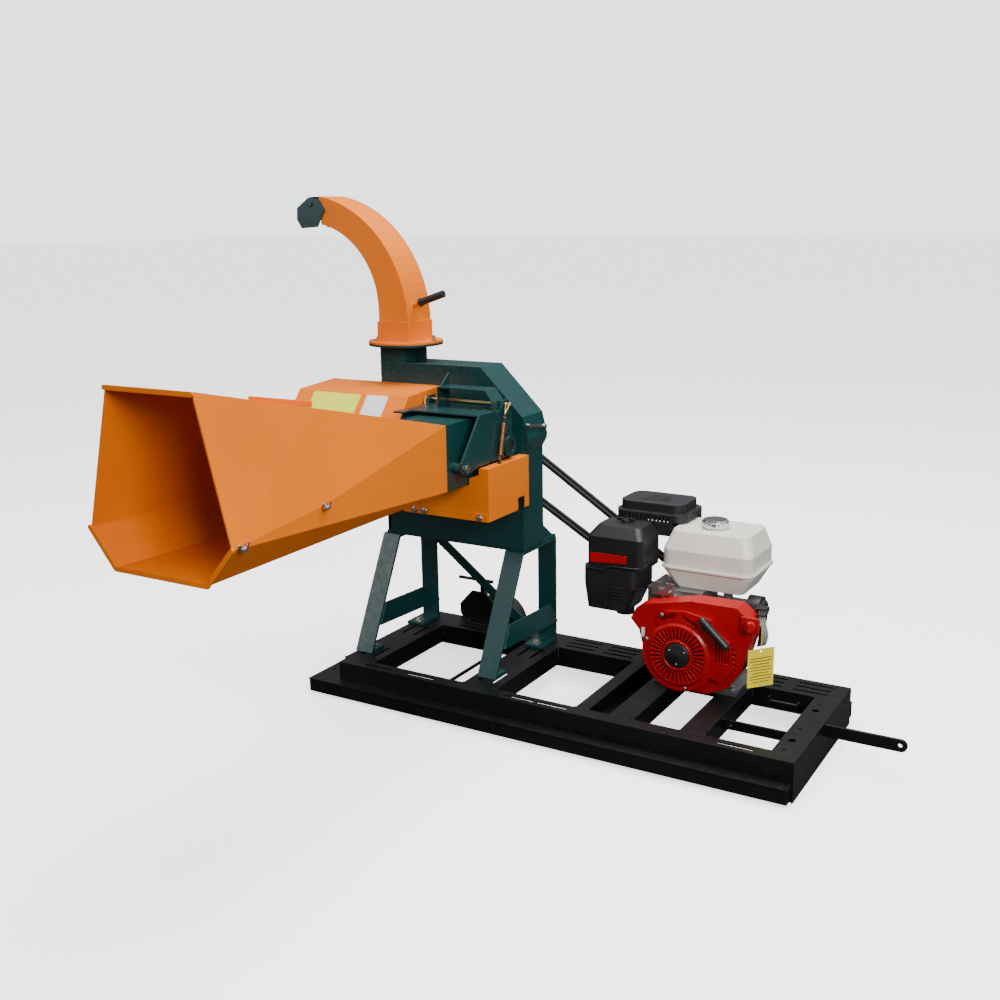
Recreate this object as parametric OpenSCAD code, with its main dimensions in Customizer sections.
// Skid-mounted disc wood chipper with a belt-driven petrol engine.
// Frame: X along the skid (engine end +X), Y across it (hopper side -Y), Z up.
// Origin: centre of the anchor-hole pattern, on the floor.

/* [Skid] */
// Length of the skid
skid_l = 1370; // [1300:10:1450]
// Width of the upper frame
skid_w = 486; // [470:2:500]
// Height of the upper frame
skid_h = 100; // [96:1:104]
// Height of the lower base rails
base_h = 48; // [44:1:52]
// How far a base rail stands out from the frame
ledge = 35; // [25:1:45]
// Thickness of the frame plate
plate = 4; // [3:0.5:5]
// Distance between anchor holes along the skid
anchor_x = 1300; // [1240:10:1320]
// Distance between anchor holes across the skid
anchor_y = 360; // [300:10:400]
// Diameter of an anchor hole
anchor_d = 13; // [11:0.5:15]

/* [Stand] */
// Height of the top of the chipper stand
stand_h = 410; // [400:1:418]
// Width of a leg strip
leg_w = 56; // [50:1:60]
// Thickness of a leg strip
leg_t = 8; // [6:1:10]

/* [Chipper] */
// X of the rotor axis
rotor_x = -378; // [-384:1:-372]
// Height of the rotor axis
rotor_z = 628; // [622:1:632]
// Radius of the rotor disc
rotor_r = 195; // [180:1:198]
// Radius of the rotor shaft
shaft_r = 20; // [17:0.5:22]
// Top of the disc housing
housing_top = 907; // [900:1:915]
// Thickness of the disc housing
housing_t = 110; // [106:1:114]
// Outer radius of the rotor pulley
rotor_pulley_r = 60; // [56:1:64]

/* [Hopper] */
// Y of the hopper mouth
mouth_y = -1135; // [-1180:5:-1080]
// Height of the hopper mouth's top edge
mouth_top = 1004; // [980:2:1030]
// Half width of the mouth at its widest
mouth_half = 187; // [170:1:200]
// Thickness of the hopper sheet
sheet = 3; // [2.5:0.5:4]

/* [Feed] */
// Height of the feed arm's pivot
pivot_z = 694; // [692:1:698]
// Radius of the feed roller
roller_r = 60; // [52:1:62]
// Wire diameter of a tension spring
spring_wire = 3; // [2.5:0.5:3.5]

/* [Discharge] */
// X of the discharge chute's swivel axis
chute_x = -552; // [-556:1:-548]
// Radius of the swivel flange
flange_r = 104; // [98:1:108]
// Sweep of the chute elbow
elbow_a = 80; // [70:1:84]

/* [Engine] */
// X of the crankshaft
crank_x = 308; // [304:1:312]
// Height of the crankshaft
crank_z = 208; // [206:1:212]
// Outer radius of the engine pulley
engine_pulley_r = 44; // [40:1:48]
// Radius of the recoil starter cover
recoil_r = 98; // [92:1:100]
// Number of air slots in the recoil cover
recoil_slots = 36; // [24:2:40]

/* [Wheel] */
// Radius of the rear wheel
wheel_r = 85; // [78:1:86]

/* [Hidden] */
$fn = 48;
eps = 0.01;

hl = skid_l / 2;
hw = skid_w / 2;
front_in = -hw + 40;
rear_in = hw - 100;
rail_x0 = -601;
box_x0 = -602;
box_x1 = -148;
face_y = 7;
back_y = face_y + housing_t;
belt_y = 285;
throat_x0 = -343;
throat_x1 = -190;
throat_y0 = -293;
throat_y1 = -130;
throat_z0 = 639;
throat_z1 = 805;
seam_z = 757;
mouth_x = -285;
mouth_seam = 718;
mouth_bot = 641;
joint_y = -785;
pivot_y = -262;
arm_x0 = -384;
arm_x1 = -154;
roller_y = -63;
roller_z = 718;
pin_r = 7;
spring_x = [-392, -143];
spring_y = -120;
spring_z = 688.5;
spring_a = 14.5;
rod_y = -72;
rod_z = 828;
neck_x0 = -602;
neck_x1 = -520;
neck_top = 958;
mid_y = face_y + housing_t / 2;
knee_x = -273;
knee_z = 782;
cover_bolts = [-357, -326, -157];
wheel_x = -400;
wheel_y = 302;
wheel_z = 86;

black = "#26282b";
green = "#2f5f5f";
orange = "#e39a2d";
red = "#b4202c";
zinc = "#c9c6bd";

// ---------- helpers ----------
// Box from one corner to the opposite one
module box(a, b) translate(a) cube(b - a);
// Plate of thickness t in the YZ plane, starting at x
module yz_plate(x, t, pts) translate([x, 0, 0]) rotate([90, 0, 90]) linear_extrude(t) polygon(pts);
// Plate of thickness t in the XZ plane, from y towards +Y
module xz_plate(y, t, pts) translate([0, y + t, 0]) rotate([90, 0, 0]) linear_extrude(t) polygon(pts);
module x_cyl(p, r, l) translate(p) rotate([0, 90, 0]) cylinder(r = r, h = l);
module y_cyl(p, r, l) translate(p) rotate([-90, 0, 0]) cylinder(r = r, h = l);
module z_cyl(p, r, l) translate(p) cylinder(r = r, h = l);
// Slot cutter through a top plate: length along X or along Y
module x_slot(p, l, w, h) hull_free_slot(p, l, w, h, 0);
module y_slot(p, l, w, h) hull_free_slot(p, l, w, h, 90);
module hull_free_slot(p, l, w, h, a) translate(p) rotate([0, 0, a]) {
    translate([-l / 2 + w / 2, -w / 2, 0]) cube([l - w, w, h]);
    for (s = [-1, 1]) translate([s * (l / 2 - w / 2), 0, 0]) cylinder(d = w, h = h);
}
// Hexagon-head bolt with its head on top of p, shank going down by l
module bolt_down(p, d, l) translate(p) { cylinder(d = d * 1.7, h = d * 0.6, $fn = 6); translate([0, 0, -l]) cylinder(d = d, h = l); }
// Hexagon-head bolt whose head faces -Y at p
module bolt_front(p, d, l) translate(p) rotate([90, 0, 0]) { cylinder(d = d * 1.7, h = d * 0.6, $fn = 6); translate([0, 0, -l]) cylinder(d = d, h = l); }
// Points of an arc in degrees
function arc(cx, cy, r, a0, a1, n) = [for (i = [0:n]) let (a = a0 + (a1 - a0) * i / n) [cx + r * cos(a), cy + r * sin(a)]];

// ---------- skid ----------
module front_rail() color(black) difference() {
    union() {
        box([rail_x0, -hw, base_h], [hl - plate, -hw + plate, skid_h]);
        box([rail_x0, -hw, skid_h - plate], [hl - plate, front_in, skid_h]);
        box([rail_x0, -hw, base_h], [hl - plate, front_in, base_h + plate]);
    }
    for (x = [-480, -340, -35, 60, 540]) x_slot([x, -hw + 20, skid_h - 2 * plate], 92, 9, 3 * plate);
}
module rear_rail() color(black) difference() {
    union() {
        box([rail_x0, rear_in, skid_h - plate], [hl - plate, hw, skid_h]);
        box([rail_x0, rear_in, base_h], [hl - plate, rear_in + plate, skid_h]);
        box([rail_x0, hw - plate, base_h], [hl - plate, hw, skid_h]);
    }
    for (x = [-420, -280, -60, 60, 180, 480, 600], y = [24, 50, 76]) x_slot([x, rear_in + y, skid_h - 2 * plate], 92, 9, 3 * plate);
}
// Inverted channel across the frame
module cross_channel(x, w, cut) difference() {
    box([x, front_in, base_h], [x + w, rear_in, skid_h]);
    box([x + plate, front_in - 1, base_h - 1], [x + w - plate, rear_in + 1, skid_h - plate]);
    if (cut) for (y = [-130, 70], s = [0.3, 0.7]) y_slot([x + w * s, y, skid_h - 2 * plate], 80, 9, 3 * plate);
}
module cross_rails() color(black) {
    cross_channel(-610, 100, true);
    cross_channel(-217, 100, true);
}
module engine_channels() color(black) {
    cross_channel(210, 64, false);
    cross_channel(395, 62, false);
    box([116, front_in, skid_h - plate], [152, rear_in, skid_h]);
    box([116, front_in, base_h], [116 + plate, rear_in, skid_h - plate]);
    box([116 + plate, -110, base_h], [210, rear_in, base_h + plate]);
}
module end_plates() color(black) {
    difference() {
        union() {
            box([hl - plate, -hw, 0], [hl, hw, skid_h]);
            box([hl - 65, front_in, skid_h - plate], [hl - plate, rear_in, skid_h]);
            box([hl - 65, -hw + plate, 0], [hl - plate, hw - plate, plate]);
        }
        for (y = [-1, 1]) z_cyl([anchor_x / 2, y * anchor_y / 2, -1], anchor_d / 2, plate + 2);
        for (y = [-130, 60]) z_cyl([hl - 40, y, skid_h - 2 * plate], 9, 3 * plate);
        for (y = [-185, -60, 100]) z_cyl([hl - 42, y, skid_h - 2 * plate], 4, 3 * plate);
        box([hl - 2 * plate, 0, 65], [hl + 1, 8, 95]);
    }
    difference() {
        union() {
            box([-hl, -hw, 0], [-hl + plate, hw, base_h - plate]);
            box([-hl, front_in, base_h - plate], [rail_x0 - 9, rear_in, base_h]);
            box([-hl + plate, -hw + plate, 0], [-hl + 65, hw - plate, plate]);
        }
        for (y = [-1, 1]) z_cyl([-anchor_x / 2, y * anchor_y / 2, -1], anchor_d / 2, plate + 2);
        for (y = [-190, -120, -40, 60]) z_cyl([-hl + 22, y, base_h - 2 * plate], 5, 3 * plate);
    }
}
// Lower base rail on one side: a top plate with a hanging web under it
module base_rail(s) {
    y0 = s < 0 ? -hw - ledge : rear_in;
    y1 = s < 0 ? front_in : hw + ledge;
    box([-hl, y0, base_h - plate], [hl - plate, y1, base_h]);
    yw = s < 0 ? -hw - ledge + 3 : hw + ledge - 3 - plate;
    box([-hl, yw, 9], [hl - plate, yw + plate, base_h - plate]);
    box([-hl, s < 0 ? yw + plate : hw - 2, 9], [hl - plate, s < 0 ? -hw + 2 : yw, 9 + plate]);
}
module base_rails() color(black) difference() {
    for (s = [-1, 1]) base_rail(s);
    box([-hl - 1, -hw, -1], [-hl + 66, hw, base_h - plate]);
    box([hl - 66, -hw, -1], [hl + 1, hw, base_h - plate]);
}
module tie_bars() color(black) {
    difference() {
        box([457, -88, 72], [hl - plate, -82, 96]);
        y_cyl([478, -90, 84], 5, 10);
    }
    y_cyl([-290, front_in, 72], 5, rear_in - front_in);
    x_cyl([520, 92, 88], 4, 70);
    box([516, 84, 80], [520, 100, 100]);
    box([590, 84, 80], [594, 100, 96]);
}
module pull_bar() color(black) translate([hl, 0, 80]) {
    difference() {
        union() {
            box([-44, 0, -15], [178, 8, 15]);
            y_cyl([178, 0, 0], 15, 8);
        }
        y_cyl([176, -1, 0], 5.5, 10);
    }
    y_cyl([-30, -4, 0], 8, 4);
}

// ---------- stand ----------
// Side profile of one bent strip leg
function leg_pts() = let (u = [156, stand_h - skid_h] / norm([156, stand_h - skid_h]), n = [u[1], -u[0]] * leg_t,
    p = [-151, skid_h] + n, s = u[0] / u[1])
    [[-151, skid_h], [5, stand_h], [196, stand_h], [196, skid_h], [104, skid_h], [104, skid_h + leg_t],
     [196 - leg_t, skid_h + leg_t], [196 - leg_t, stand_h - leg_t],
     [p[0] + (stand_h - leg_t - p[1]) * s, stand_h - leg_t], [p[0] + (skid_h + leg_t - p[1]) * s, skid_h + leg_t],
     [-92, skid_h + leg_t], [-92, skid_h]];
module stand_legs() color(green) for (x = [-614, -206]) difference() {
    yz_plate(x, leg_w, leg_pts());
    for (y = [-110, 128]) z_cyl([x + leg_w / 2, y, skid_h - 1], 6, leg_t + 2);
}
module leg_ties() color(green) for (x = [-614 + leg_w, -206 + leg_w])
    yz_plate(x, 5, [[-108, 172], [-78, 232], [150, 222], [194, 158]]);
module rear_brace() color(green) translate([-578, 196, 372]) rotate([0, 37.5, 0]) difference() {
    box([-14, 0, -14], [428, 5, 14]);
    for (x = [2, 412]) y_cyl([x, -1, 0], 5, 8);
}
module pedestal() color(green) {
    difference() {
        union() {
            box([-606, face_y + 4, stand_h], [-152, 196, stand_h + 8]);
            box([-440, 196, stand_h], [-316, 236, stand_h + 8]);
        }
        for (x = [-586, -178], y = [140, 175]) z_cyl([x, y, stand_h - 1], 5.5, 10);
    }
    for (x = [-606, -164]) yz_plate(x, 6, [[back_y + 4, stand_h + 8], [188, stand_h + 8], [back_y + 4, stand_h + 58]]);
}

// ---------- disc housing ----------
outline = [[box_x0, 418], [box_x1, 418], [box_x1, knee_z], [knee_x, housing_top], [box_x0, housing_top]];
function inset(t) = [[box_x0 + t, 418 + t], [box_x1 - t, 418 + t], [box_x1 - t, knee_z - 0.4 * t],
    [knee_x - 0.4 * t, housing_top - t], [box_x0 + t, housing_top - t]];
module housing_front() color(green) difference() {
    xz_plate(face_y, 4, [[box_x0 + 14, 418], outline[1], outline[2], outline[3], outline[4], [box_x0, 556], [box_x0 + 14, 540]]);
    box([throat_x0 + 3, face_y - 1, throat_z0 + 4], [throat_x1 - 3, face_y + 5, throat_z1 - 25]);
}
module housing_shell() color(green) difference() {
    union() {
        difference() {
            xz_plate(face_y + 4, housing_t - 8, outline);
            xz_plate(face_y + 3, housing_t - 6, inset(4));
        }
        xz_plate(back_y - 4, 4, outline);
        // cover lip that stands out on the engine side
        xz_plate(face_y + 4, housing_t - 4, [[box_x1, knee_z], [box_x1 + 15, 724], [box_x1 + 13, 710], [box_x1, 688]]);
        // round scroll that lines the lower half
        intersection() {
            difference() {
                y_cyl([rotor_x, face_y + 4, rotor_z], rotor_r + 14, housing_t - 8);
                y_cyl([rotor_x, face_y + 3, rotor_z], rotor_r + 11, housing_t - 6);
            }
            box([box_x0 + 4, face_y, 422], [box_x1 - 4, back_y, rotor_z]);
        }
    }
    y_cyl([rotor_x, back_y - 6, rotor_z], shaft_r + 8, 10);
    box([neck_x0 + 4, face_y + 4, housing_top - 6], [neck_x1 - 4, back_y - 4, housing_top + 1]);
}
module discharge_neck() color(green) difference() {
    union() {
        box([neck_x0, face_y, housing_top], [neck_x1, back_y, neck_top - 6]);
        yz_flare();
        z_cyl([chute_x, mid_y, neck_top - 6], flange_r, 6);
    }
    box([neck_x0 + 4, face_y + 4, housing_top - 1], [neck_x1 - 4, back_y - 4, neck_top + 1]);
    for (a = [0:60:300]) z_cyl([chute_x + (flange_r - 10) * cos(a), mid_y + (flange_r - 10) * sin(a), neck_top - 7], 4.5, 8);
}
// Curved gusset on the right side of the neck
module yz_flare() xz_plate(mid_y - 4, 8, concat([[neck_x1, neck_top - 6], [neck_x1, housing_top]],
    [for (p = arc(neck_x1 + 30, neck_top - 6, 34, 250, 180, 8)) [max(p[0], neck_x1), max(p[1], housing_top)]]));
module throat_box() color(green) {
    difference() {
        box([throat_x0, throat_y0, throat_z0], [throat_x1, throat_y1, throat_z1]);
        box([throat_x0 + 4, throat_y0 - 1, throat_z0 + 4], [throat_x1 - 4, throat_y1 + 1, throat_z1 - 4]);
    }
    box([throat_x0 + 4, throat_y1, throat_z0], [throat_x1 - 4, face_y, throat_z0 + 4]);
    for (x = [throat_x0 - 29, throat_x1]) difference() {
        x_cyl([x, pivot_y, pivot_z], 13, 29);
        x_cyl([x - 1, pivot_y, pivot_z], pin_r, 31);
    }
    // spring anchors: a bar from the housing with an eye post at its end
    for (x = spring_x) {
        box([x - 4, spring_y - 6, 666], [x + 4, face_y, 674]);
        z_cyl([x, spring_y, 674], 3.5, 14.5);
    }
}
module feed_arch() color(green) {
    difference() {
        xz_strip([[-327, 864], [-184, 864], [-166, 838], [-166, 817]], -118, 54);
        x_cyl([-168, rod_y, rod_z], 4.3, 8);
    }
    difference() {
        box([-331, -118, 817], [-327, -64, 868]);
        x_cyl([-333, rod_y, rod_z], 4.3, 8);
    }
    yz_plate(-331, 4, [[-104, 868], [-64, 868], [-64, 900]]);
}
// Bent strip of 4 mm plate that follows points in XZ
module xz_strip(p, y, w) {
    box([p[0][0], y, p[0][1]], [p[1][0], y + w, p[0][1] + 4]);
    xz_plate(y, w, [p[1], [p[1][0], p[1][1] + 4], [p[2][0] + 4, p[2][1]], p[2]]);
    box([p[3][0], y, p[3][1]], [p[2][0] + 4, y + w, p[2][1]]);
}
module anvil() color(zinc) box([throat_x0 + 8, face_y + 4, throat_z0 - 8], [throat_x1 - 8, face_y + 16, throat_z0 + 4]);
module lower_cover() color(orange) {
    difference() {
        union() {
            xz_plate(-198, sheet, [[-393, 546], [-130, 546], [-130, 683], [-158, 683], [-158, 666], [-187, 655], [-187, 636], [-393, 636]]);
            box([-130 - sheet, -198 + sheet, 546], [-130, face_y, 683]);
            box([-393, -198 + sheet, 546], [-390, face_y, 636]);
            box([-158, -198 + sheet, 680], [-130 - sheet, face_y, 683]);
            box([-390, -198 - 2, 546], [-134, -198, 566]);
        }
        box([-140, -51, 540], [-120, -14, 578]);
        box([spring_x[1] - 6, spring_y - 8, 679], [spring_x[1] + 6, spring_y + 8, 684]);
        for (x = cover_bolts) y_cyl([x, -210, 556], 4, 20);
    }
}
module drive_cover() color(orange) difference() {
    yz_plate(-772, 368, [[face_y, 700], [face_y, 851], [-143, 841], [-190, 784], [-190, 700]]);
    yz_plate(-769, 362, [[face_y - 3, 699], [face_y - 3, 848], [-141.5, 838], [-187, 783], [-187, 699]]);
}
module cover_latch() color(zinc) {
    x_cyl([box_x1 + 7.8, 18, 758], 6, 9);
    translate([box_x1 + 11.4, 18, 758]) rotate([-9, 0, 0]) box([0, 0, -4], [4, 84, 4]);
    x_cyl([box_x1 + 11.6, 101, 745], 6.5, 8);
}

// ---------- rotor ----------
module rotor_disc() color("#7c8083") difference() {
    union() {
        y_cyl([rotor_x, 30, rotor_z], rotor_r, 16);
        y_cyl([rotor_x, 46, rotor_z], 46, 40);
    }
    y_cyl([rotor_x, 29, rotor_z], shaft_r, 60);
    for (a = [0:90:270]) translate([rotor_x, 0, rotor_z]) rotate([0, a, 0]) box([70, 29, -30], [190, 47, -12]);
}
module rotor_knives() color(zinc) for (a = [0:90:270]) translate([rotor_x, 0, rotor_z]) rotate([0, a, 0]) {
    yz_like_blade();
}
// One bevelled knife with its two countersunk screws
module yz_like_blade() difference() {
    translate([68, 0, 0]) rotate([90, 0, 90]) linear_extrude(124) polygon([[30, -10], [26, -14], [26, 10], [30, 18]]);
    for (x = [90, 170]) y_cyl([x, 25, 2], 4, 6);
}
module rotor_paddles() color(green) for (a = [22:90:292]) translate([rotor_x, 0, rotor_z]) rotate([0, a, 0]) {
    box([52, 46, -4], [rotor_r - 4, 98, 4]);
    box([110, 46, 4], [126, 78, 10]);
}
module rotor_shaft() color(zinc) {
    difference() {
        y_cyl([rotor_x, 24, rotor_z], shaft_r, 292);
        box([rotor_x - 4, 255, rotor_z + shaft_r - 4], [rotor_x + 4, 317, rotor_z + shaft_r + 1]);
    }
    y_cyl([rotor_x, 20, rotor_z], 14, 4);
}
module bearing_stand() color(green) {
    difference() {
        box([-438, back_y + 5, stand_h + 8], [-318, 236, rotor_z - 45]);
        box([-432, back_y + 3, stand_h + 7], [-324, 230, rotor_z - 53]);
    }
}
// Cast pillow block round the shaft, its foot at shaft height minus 45
module pillow(y) difference() {
    union() {
        box([rotor_x - 55, y, rotor_z - 45], [rotor_x + 55, y + 30, rotor_z - 31]);
        y_cyl([rotor_x, y, rotor_z], 38, 30);
        box([rotor_x - 34, y, rotor_z - 32], [rotor_x + 34, y + 30, rotor_z]);
    }
    y_cyl([rotor_x, y - 1, rotor_z], shaft_r + 0.05, 32);
    for (s = [-1, 1]) z_cyl([rotor_x + s * 46, y + 15, rotor_z - 46], 5.5, 20);
}
module pillow_blocks() color("#5c6164") {
    pillow(back_y + 10);
    pillow(200);
}
// Two-groove V pulley on the Y axis, centred at p
module v_pulley(p, r, bore) translate(p) rotate([-90, 0, 0]) rotate_extrude($fn = 96) polygon([
    [bore, -23], [r, -23], [r, -20], [r - 13, -15], [r - 13, -8], [r, -3], [r, 3], [r - 13, 8], [r - 13, 15], [r, 20], [r, 23], [bore, 23]]);
module driven_pulley() color("#3a3d40") v_pulley([rotor_x, belt_y, rotor_z], rotor_pulley_r, shaft_r);

// ---------- feed arm ----------
arm_pts = [[-193, 817], [-281, 710], [-278, 684], [-262, 678], [-240, 680], [-205, 688], [-36, 690], [-36, 800], [-52, 817],
    [-58, 838], [-86, 838], [-92, 817]];
module swing_arm() color(green) {
    for (x = [arm_x0, arm_x1 - 6]) difference() {
        yz_plate(x, 6, arm_pts);
        x_cyl([x - 1, pivot_y, pivot_z], pin_r + 0.05, 8);
        x_cyl([x - 1, roller_y, roller_z], 16, 8);
        x_cyl([x - 1, rod_y, rod_z], 4, 8);
    }
    box([arm_x0 + 6, -196, 813], [arm_x1 - 6, -60, 817]);
    box([arm_x0 - 6, -232, 813], [arm_x0 + 26, -196, 817]);
    // hub rings outside the plates
    for (x = [arm_x0 - 12, arm_x1]) difference() {
        x_cyl([x, roller_y, roller_z], 27, 12);
        x_cyl([x - 1, roller_y, roller_z], 16, 14);
    }
    box([arm_x1 + 2, -74, 741], [arm_x1 + 6, -52, 752]);
}
module pivot_pins() color(zinc) {
    x_cyl([arm_x0 - 1, pivot_y, pivot_z], pin_r, throat_x0 - arm_x0 + 1);
    x_cyl([throat_x1, pivot_y, pivot_z], pin_r, arm_x1 - throat_x1 + 1);
    for (x = [arm_x0 - 5, arm_x1 + 1]) x_cyl([x, pivot_y, pivot_z], 10, 4);
}
module feed_roller() color("#5a5f60") {
    difference() {
        x_cyl([-340, roller_y, roller_z], roller_r - 16, 147);
        x_cyl([-341, roller_y, roller_z], 8, 149);
    }
    for (i = [0:9]) translate([0, roller_y, roller_z]) rotate([i * 36, 0, 0]) box([-338, -3, roller_r - 17], [-195, 3, roller_r]);
    x_cyl([-394, roller_y, roller_z], 8, 250);
    for (x = [-394, -153.5]) difference() {
        x_cyl([x, roller_y, roller_z], 15.92, 9.5);
        x_cyl([x - 1, roller_y, roller_z], 8, 12);
    }
}
// A close-wound tension spring stands as a plain coil body with two end wires
module spring(x) {
    translate([x, spring_y, spring_z]) rotate([-spring_a, 0, 0]) {
        translate([0, 0, 14]) difference() { cylinder(r = 7.5, h = 82); translate([0, 0, -1]) cylinder(r = 7.5 - spring_wire, h = 84); }
        translate([0, 0, 94]) cylinder(d = spring_wire, h = 26);
        translate([0, 0, 0.6]) cylinder(d = spring_wire, h = 15);
        for (z = [14, 94]) translate([0, 0, z]) cylinder(r = 5, h = 2);
    }
}
module tension_springs() color("#b5926b") for (x = spring_x) spring(x);
module spring_rod() color("#d8c48a") {
    x_cyl([-400, rod_y, rod_z], 4, 266);
    // fork of two wires from each spring's end up over the rod
    for (x = spring_x, s = [-1, 1]) translate([x, spring_y + 121.4 * sin(spring_a), spring_z + 121.4 * cos(spring_a)])
        rotate([-30, s * 14, 0]) cylinder(r = 2, h = 32);
}

// ---------- hopper ----------
// Ring of section points at the mouth and at the throat, shrunk by t
function low_pts(y, t, m) = m
    ? [[mouth_x - mouth_half + t, y, mouth_seam], [mouth_x - 124 + t / 2, y, mouth_bot + t], [mouth_x + 119 - t / 2, y, mouth_bot + t], [mouth_x + mouth_half - t, y, mouth_seam]]
    : [[throat_x0 + t, y, seam_z], [throat_x0 + t, y, throat_z0 + t], [throat_x1 - t, y, throat_z0 + t], [throat_x1 - t, y, seam_z]];
function top_pts(y, t, m) = m
    ? [[mouth_x - mouth_half + t, y, mouth_seam], [mouth_x - 108 + t, y, mouth_top - t], [mouth_x + 117 - t, y, mouth_top - t], [mouth_x + mouth_half - t, y, mouth_seam]]
    : [[throat_x0 + t, y, seam_z], [throat_x0 + t, y, throat_z1 - t], [throat_x1 - t, y, throat_z1 - t], [throat_x1 - t, y, seam_z]];
// Convex solid between two four-point sections
module loft(a, b) hull() polyhedron(concat(a, b), [[0, 1, 2, 3], [4, 7, 6, 5], [0, 4, 5, 1], [1, 5, 6, 2], [2, 6, 7, 3], [3, 7, 4, 0]]);
// Section of the same loft at another Y, leaning forward by d at its two seam points
function at_y(a, b, y, d = 0) = [for (i = [0:3]) let (k = (y - (i == 0 || i == 3 ? d : 0) - a[i][1]) / (b[i][1] - a[i][1])) a[i] + (b[i] - a[i]) * k];
// The same section moved by dy, with its two seam points moved by dz
function shift(p, dy, dz) = [for (i = [0:3]) p[i] + [0, dy, i == 0 || i == 3 ? dz : 0]];
module hopper_tray() color(orange) {
    a = low_pts(mouth_y, 0, true); b = low_pts(throat_y0, 0, false);
    ai = low_pts(mouth_y, sheet, true); bi = low_pts(throat_y0, sheet, false);
    difference() {
        loft(a, b);
        loft(shift(at_y(ai, bi, mouth_y - 2), 0, 2), shift(at_y(ai, bi, throat_y0 + 2), 0, 2));
    }
    // rolled lip along the mouth
    lip(a[1], a[2]);
    lip(a[0], a[1]);
    lip(a[2], a[3]);
}
// Flat lip bar in front of a mouth edge
module lip(p, q) hull() for (e = [p, q]) translate([e[0], mouth_y - 5, e[2]]) rotate([-90, 0, 0]) cylinder(r = 5, h = 5, $fn = 12);
// Hood segment between two Y stations, each leaning forward by its d
module hood(y0, d0, y1, d1) {
    a = top_pts(mouth_y, 0, true); b = top_pts(throat_y0, 0, false);
    ai = top_pts(mouth_y, sheet, true); bi = top_pts(throat_y0, sheet, false);
    difference() {
        loft(at_y(a, b, y0, d0), at_y(a, b, y1, d1));
        loft(shift(at_y(ai, bi, y0 - 2, d0), 0, -2), shift(at_y(ai, bi, y1 + 2, d1), 0, -2));
    }
}
module front_hood() color(orange) {
    hood(mouth_y, 0, joint_y, 55);
    a = top_pts(mouth_y, 0, true);
    lip([a[1][0], 0, a[1][2] - 5], [a[2][0], 0, a[2][2] - 5]);
}
module rear_hood() color(orange) {
    hood(joint_y, 55, throat_y0, 0);
    box([-366, joint_y + 2, 922], [-196, joint_y + 8, 934]);
}
module wing_nuts() color(zinc) for (p = [[-100, -1112, 716], [-130.2, -836, 729]]) translate(p) {
    rotate([0, 90, 0]) cylinder(r = 7, h = 6, $fn = 6);
    x_cyl([6, 0, 0], 4, 8);
    for (s = [-1, 1]) translate([8, s * 8, 3]) rotate([s * -25, 0, 0]) box([-2, -2.5, -7], [2, 2.5, 9]);
}

// ---------- discharge ----------
// Elbow outline between its inner and outer arcs, shrunk by t
function elbow_pts(t, e) = concat(
    [[chute_x - 50 + t, neck_top + 6 - e], [chute_x - 50 + t, 1052]],
    arc(chute_x - 285, 1052, 235 + t, 0, elbow_a - 2 + e * 0.2, 18),
    [for (i = [18:-1:0]) let (a = (elbow_a + e * 0.2) * i / 18) [chute_x - 304 + (352 - t) * cos(a), 1012 + (352 - t) * sin(a)]],
    [[chute_x + 48 - t, neck_top + 6 - e]]);
module discharge_chute() color(orange) {
    difference() {
        union() {
            xz_plate(face_y, housing_t, elbow_pts(0, 0));
            z_cyl([chute_x, mid_y, neck_top + 0.4], flange_r, 5.6);
            box([chute_x - 54, face_y - 4, neck_top + 6], [chute_x + 50, back_y + 4, 1018]);
        }
        xz_plate(face_y + 4, housing_t - 8, elbow_pts(4, 8));
        for (a = [0, 180]) z_cyl([chute_x + (flange_r - 10) * cos(a), mid_y + (flange_r - 10) * sin(a), neck_top - 1], 4.3, 9);
    }
    translate([chute_x + 41, mid_y - 20, 1062]) rotate([0, 72, 0]) cylinder(r = 6, h = 104);
}
module chute_grip() color("#1b1c1e") translate([chute_x + 41, mid_y - 20, 1062]) rotate([0, 72, 0]) difference() {
    union() {
        translate([0, 0, 28]) cylinder(r = 10, h = 80);
        translate([0, 0, 26]) cylinder(r = 12, h = 4);
    }
    translate([0, 0, 16]) cylinder(r = 6, h = 88);
}
module chute_deflector() color(green) {
    for (y = [face_y - 4.4, back_y + 0.4]) xz_plate(y, 4, [[-873, 1296], [-871, 1328], [-829, 1356], [-791, 1350], [-772, 1321], [-801, 1275], [-857, 1272]]);
    xz_plate(face_y - 4.4, housing_t + 8.8, [[-873, 1296], [-871, 1328], [-829, 1356], [-812, 1358], [-812, 1354.5], [-828, 1352.5], [-868, 1326], [-870, 1296]]);
    y_cyl([-822, face_y - 9, 1338], 7, 5);
    y_cyl([-822, back_y + 4, 1338], 7, 5);
}
module chute_clamps() color(zinc) for (s = [-1, 1]) translate([chute_x + s * (flange_r - 10), mid_y, neck_top + 6]) {
    cylinder(d = 15, h = 6, $fn = 6);
    cylinder(d = 8, h = 16);
    translate([0, 0, -5.5]) cylinder(d = 8, h = 6);
}

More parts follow.
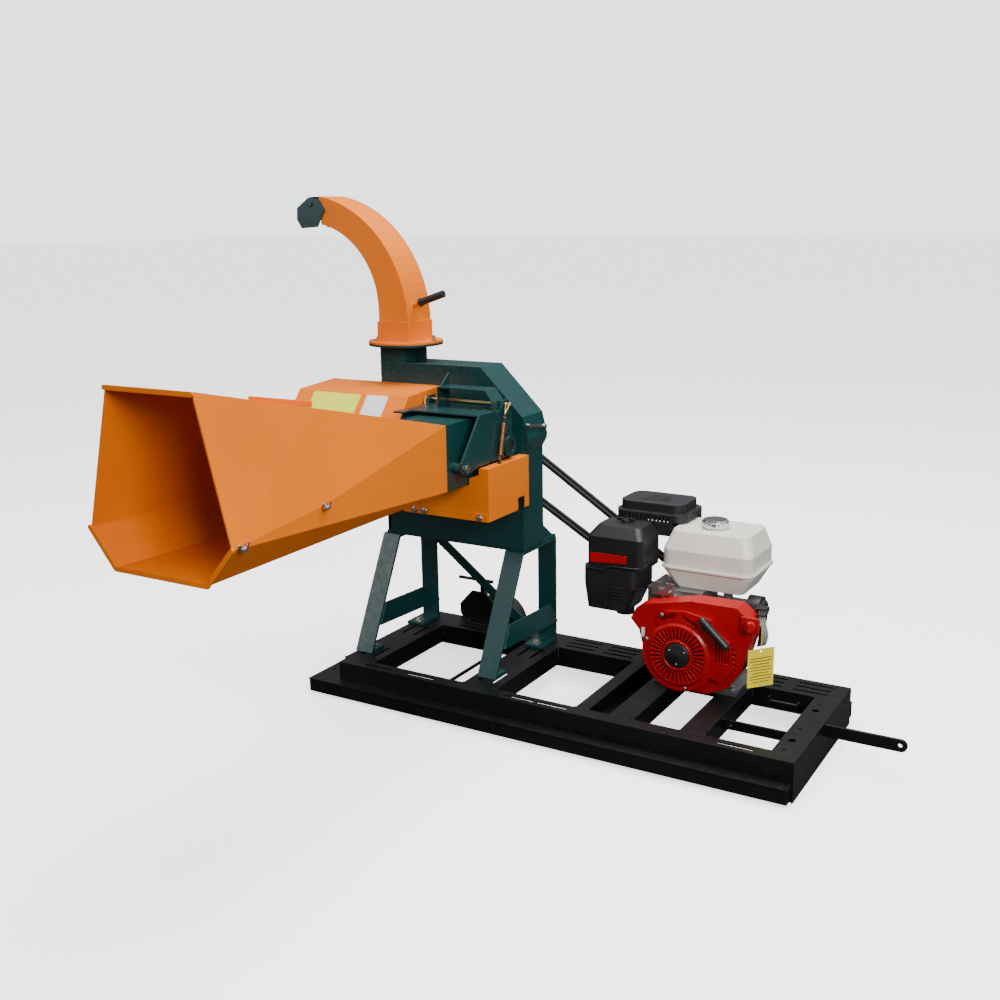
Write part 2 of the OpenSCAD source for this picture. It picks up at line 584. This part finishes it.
// ---------- belt drive ----------
// One V belt loop round the two pulleys: open loop with round ends
function tangent_pts(c0, r0, c1, r1, n) = let (d = c1 - c0, l = norm(d), b = atan2(d[1], d[0]), g = acos((r0 - r1) / l))
    concat([for (i = [0:n]) let (a = b + g + (360 - 2 * g) * i / n) c0 + r0 * [cos(a), sin(a)]],
           [for (i = [0:n]) let (a = b - g + 2 * g * i / n) c1 + r1 * [cos(a), sin(a)]]);
module belt(y) xz_plate_ring(y, 10);
module xz_plate_ring(y, w) difference() {
    xz_plate(y - w / 2, w, tangent_pts([rotor_x, rotor_z], rotor_pulley_r + 3, [crank_x, crank_z], engine_pulley_r + 3, 30));
    xz_plate(y - w / 2 - 1, w + 2, tangent_pts([rotor_x, rotor_z], rotor_pulley_r - 7, [crank_x, crank_z], engine_pulley_r - 7, 30));
}
module drive_belts() color("#222326") for (s = [-1, 1]) belt(belt_y + s * 11.5);
module engine_pulley() color("#3a3d40") {
    v_pulley([crank_x, belt_y, crank_z], engine_pulley_r, 12.5);
    y_cyl([crank_x, 231, crank_z], 12.5, 83);
}

// ---------- engine ----------
module crankcase() color("#9a9c9c") {
    difference() {
        union() {
            box([222, 44, skid_h], [446, 214, skid_h + 12]);
            box([252, 62, skid_h + 12], [410, 232, 300]);
            y_cyl([crank_x, 232, crank_z], 62, 6);
            // cylinder block leans to the left and up
            translate([250, 0, 250]) rotate([0, -65, 0]) box([-30, 80, -55], [78, 215, 55]);
            box([180, 90, 300], [330, 210, 344]);
            for (x = [300, 380]) z_cyl([x, 150, 300], 12, 45);
        }
        for (x = [240, 426], y = [70, 195]) z_cyl([x, y, skid_h - 1], 5.5, 20);
        y_cyl([crank_x, 230, crank_z], 12.55, 10);
    }
    for (i = [0:5]) translate([250, 0, 250]) rotate([0, -65, 0]) box([32 + i * 9, 74, -62], [35 + i * 9, 80, 62]);
}
rope_x = 386;
rope_z = 302;
shroud_pts = [[188, 312], [172, 282], [196, 255], [217, 177], [262, 128], [330, 113], [385, 113], [440, 140], [470, 185], [498, 285], [492, 325], [456, 353], [339, 352], [205, 324]];
module fan_shroud() color(red) {
    difference() {
        xz_plate(0, 60, shroud_pts);
        y_cyl([crank_x, -1, crank_z], 84, 56);
        for (i = [0:4]) translate([432, -1, 190 + i * 13]) rotate([0, 8, 0]) cube([26, 5, 5]);
        y_cyl([rope_x, -1, rope_z], 4, 58);
    }
    box([470, -8, 296], [514, 0, 336]);
}
module recoil_cover() color(red) difference() {
    union() {
        y_cyl([crank_x, -9, crank_z], recoil_r, 9);
        translate([crank_x, -9, crank_z]) rotate([90, 0, 0]) cylinder(r1 = recoil_r - 12, r2 = 78, h = 7, $fn = 64);
        xz_plate(-11, 11, [[crank_x - 62, crank_z + 74], [crank_x - 38, crank_z + 112], [crank_x + 20, crank_z + 118], [crank_x + 88, crank_z + 106], [crank_x + 100, crank_z + 40]]);
        xz_plate(-9, 9, [[400, 290], [442, 262], [452, 190], [420, 150], [380, 170], [380, 270]]);
    }
    for (i = [0:recoil_slots - 1]) translate([crank_x, 0, crank_z]) rotate([0, i * 360 / recoil_slots, 0]) box([42, -17, -2], [74, 1, 2]);
    for (i = [0:5], s = [0, 1]) translate([crank_x - 46 + i * 7 + s * 60, 0, crank_z + 92 + (s ? 8 - i * 3 : i * 2)]) rotate([0, s ? -35 : 25, 0]) box([-1.6, -17, -9], [1.6, 1, 9]);
    for (i = [0:4]) box([407 + i * 8, -17, 206], [410.5 + i * 8, 1, 258]);
    y_cyl([crank_x, -14, crank_z], 78, 14.5);
    y_cyl([rope_x, -20, rope_z], 4, 24);
}
module starter_handle() color("#1f2022") {
    hull() for (p = [[rope_x - 4, rope_z + 16], [rope_x + 56, rope_z - 40]]) translate([p[0], -34, p[1]]) sphere(r = 10, $fn = 24);
    y_cyl([rope_x, -34, rope_z], 3.6, 88);
    y_cyl([rope_x, -34, rope_z], 9, 22.6);
}
module engine_switch() color(red) translate([496, -8.4, 316]) rotate([90, 0, 0]) {
    cylinder(r = 13, h = 12);
    translate([0, 0, 15]) cube([7, 24, 6], center = true);
}
module air_cleaner() color("#222427") difference() {
    union() {
        hull() {
            for (x = [40, 165], y = [60, 146]) z_cyl([x, y, 392], 18, 82);
            for (x = [62, 150], y = [82, 130]) z_cyl([x, y, 474], 18, 28);
        }
        hull() {
            for (x = [32, 148], y = [56, 146]) z_cyl([x, y, 342], 18, 50);
            for (x = [40, 120], y = [60, 140]) z_cyl([x, y, 276], 18, 10);
        }
        z_cyl([118, 86, 262], 24, 15);
    }
    box([10, 36, 388], [190, 42.5, 394]);
}
module cleaner_knob() color("#1b1c1e") {
    z_cyl([104, 115, 502.3], 12, 8);
    for (s = [-1, 1]) box([104 + s * 15 - 11, 112, 506], [104 + s * 15 + 11, 118, 514]);
}
module muffler_guard() color("#303236") difference() {
    union() {
        hull() for (x = [78, 212], y = [204, 284]) z_cyl([x, y, 462], 36, 58);
        hull() for (x = [80, 204], y = [212, 280]) z_cyl([x, y, 520], 30, 24);
    }
    box([84, 176, 440], [206, 310, 516]);
    box([212, 90, 440], [300, 300, 499]);
    for (i = [0:10]) box([86 + i * 11, 164, 498], [91 + i * 11, 186, 514]);
    for (i = [0:5]) box([232, 208 + i * 12, 498], [252, 213 + i * 12, 514]);
    for (i = [0:5]) x_slot([142, 214 + i * 11, 538], 84 - i * 5, 5, 8);
}
module fuel_tank() color("#e9e6dc") {
    hull() {
        for (x = [236, 428], y = [128, 262]) translate([x, y, 403]) cylinder(r = 26, h = 44);
        for (x = [256, 412], y = [146, 248]) translate([x, y, 450]) cylinder(r = 26, h = 46);
    }
    hull() {
        for (x = [236, 428], y = [128, 262]) translate([x, y, 389]) cylinder(r = 24, h = 8);
        for (x = [262, 410], y = [138, 250]) translate([x, y, 345]) cylinder(r = 18, h = 8);
    }
    hull() for (x = [236, 428], y = [128, 262]) translate([x, y, 397]) cylinder(r = 31, h = 6);
    z_cyl([325, 190, 496], 30, 5);
}
module fuel_cap() color(zinc) translate([325, 190, 501.3]) difference() {
    union() { cylinder(r = 36, h = 13); translate([0, 0, 13]) cylinder(r = 31, h = 5); }
    for (i = [0:11]) rotate([0, 0, i * 30]) translate([38.5, 0, -1]) cylinder(r = 5, h = 20, $fn = 16);
}
module throttle_lever() color("#8c8f90") translate([232, 52, 352]) {
    difference() {
        y_cyl([0, -4, 0], 8, 7.6);
        y_cyl([0, -5, 0], 3.55, 10);
    }
    rotate([0, -62, 0]) box([6, -3, -3.5], [42, 0, 3.5]);
    rotate([0, -62, 0]) y_cyl([44, -6, 0], 6, 7);
}
module control_bracket() color("#8c8f90") {
    box([206, 56, 336], [266, 60, 370]);
    y_cyl([232, 46, 352], 3.5, 10);
    box([206, 60, 336], [222, 90, 340]);
    y_cyl([254, 48, 346], 4, 8);
}
module ignition_unit() color("#2a2b2d") {
    x_cyl([444, 130, 312], 36, 34);
    x_cyl([478, 130, 312], 26, 8);
    box([410, 110, 262], [446, 150, 312]);
    for (i = [0:2]) translate([492 + i * 3, 66 + i * 6, 240]) rotate([0, 6, 0]) cylinder(r = 3, h = 96);
    box([500, 20, 334], [520, 54, 338]);
    box([488, 54, 330], [512, 84, 342]);
    box([478, 60, 330], [488, 130, 336]);
}
module hang_tag() color("#e7d65a") {
    translate([513, 26, 150]) rotate([0, 0, 50]) difference() {
        box([-37, -0.6, 0], [37, 0.6, 100]);
        y_cyl([0, -2, 93], 3, 4);
    }
    // string from the bracket above
    z_cyl([513, 26, 249], 1, 85);
}

// ---------- hardware ----------
module frame_bolts() color(zinc) {
    for (x = [-586, -178], y = [-110, 128]) bolt_down([x, y, skid_h + leg_t], 12, leg_t);
    for (x = [240, 426], y = [70, 195]) bolt_down([x, y, skid_h + 12], 11, 12);
    for (x = [-586, -178], y = [140, 175]) bolt_down([x, y, stand_h + 8], 11, 8);
    for (x = cover_bolts) bolt_front([x, -200, 556], 8, 12);
    for (x = [-338, -418], y = [back_y + 25, 215]) z_cyl([rotor_x + (x > -378 ? 46 : -46), y, rotor_z - 45], 5.5, 24);
}
module rear_wheel() color("#1d1e20") translate([wheel_x, wheel_y, wheel_z]) rotate([-90, 0, 0]) {
    rotate_extrude($fn = 72) polygon([[50, -16], [wheel_r - 6, -20], [wheel_r, -12], [wheel_r, 12], [wheel_r - 6, 20], [50, 16]]);
    difference() {
        union() { cylinder(r = 50, h = 12, center = true); cylinder(r = 18, h = 44, center = true); }
        cylinder(r = 10, h = 60, center = true);
    }
}
module wheel_bracket() color(black) {
    difference() {
        xz_plate(hw, 8, [[-470, 52], [-340, 52], [-340, 110], [-425, 185], [-470, 185], [-512, 140], [-512, 110]]);
        y_cyl([-420, hw - 1, 70], 5, 10);
    }
    y_cyl([wheel_x, hw + 8, wheel_z], 9.95, wheel_y + 23 - hw - 8);
    y_cyl([wheel_x, wheel_y + 22.4, wheel_z], 13, 5);
    translate([-440, hw + 8, 170]) {
        y_cyl([0, 0, 0], 14, 17);
        box([-6, 4, 6], [6, 16, 50]);
    }
    x_cyl([-524, hw + 18, 218], 5, 120);
}

front_rail();
rear_rail();
cross_rails();
engine_channels();
end_plates();
base_rails();
tie_bars();
pull_bar();
stand_legs();
leg_ties();
rear_brace();
pedestal();
housing_front();
housing_shell();
discharge_neck();
throat_box();
feed_arch();
anvil();
lower_cover();
drive_cover();
cover_latch();
rotor_disc();
rotor_knives();
rotor_paddles();
rotor_shaft();
bearing_stand();
pillow_blocks();
driven_pulley();
swing_arm();
pivot_pins();
feed_roller();
tension_springs();
spring_rod();
hopper_tray();
front_hood();
rear_hood();
wing_nuts();
discharge_chute();
chute_grip();
chute_deflector();
chute_clamps();
drive_belts();
engine_pulley();
crankcase();
fan_shroud();
recoil_cover();
starter_handle();
engine_switch();
air_cleaner();
cleaner_knob();
muffler_guard();
fuel_tank();
fuel_cap();
throttle_lever();
control_bracket();
ignition_unit();
hang_tag();
frame_bolts();
rear_wheel();
wheel_bracket();
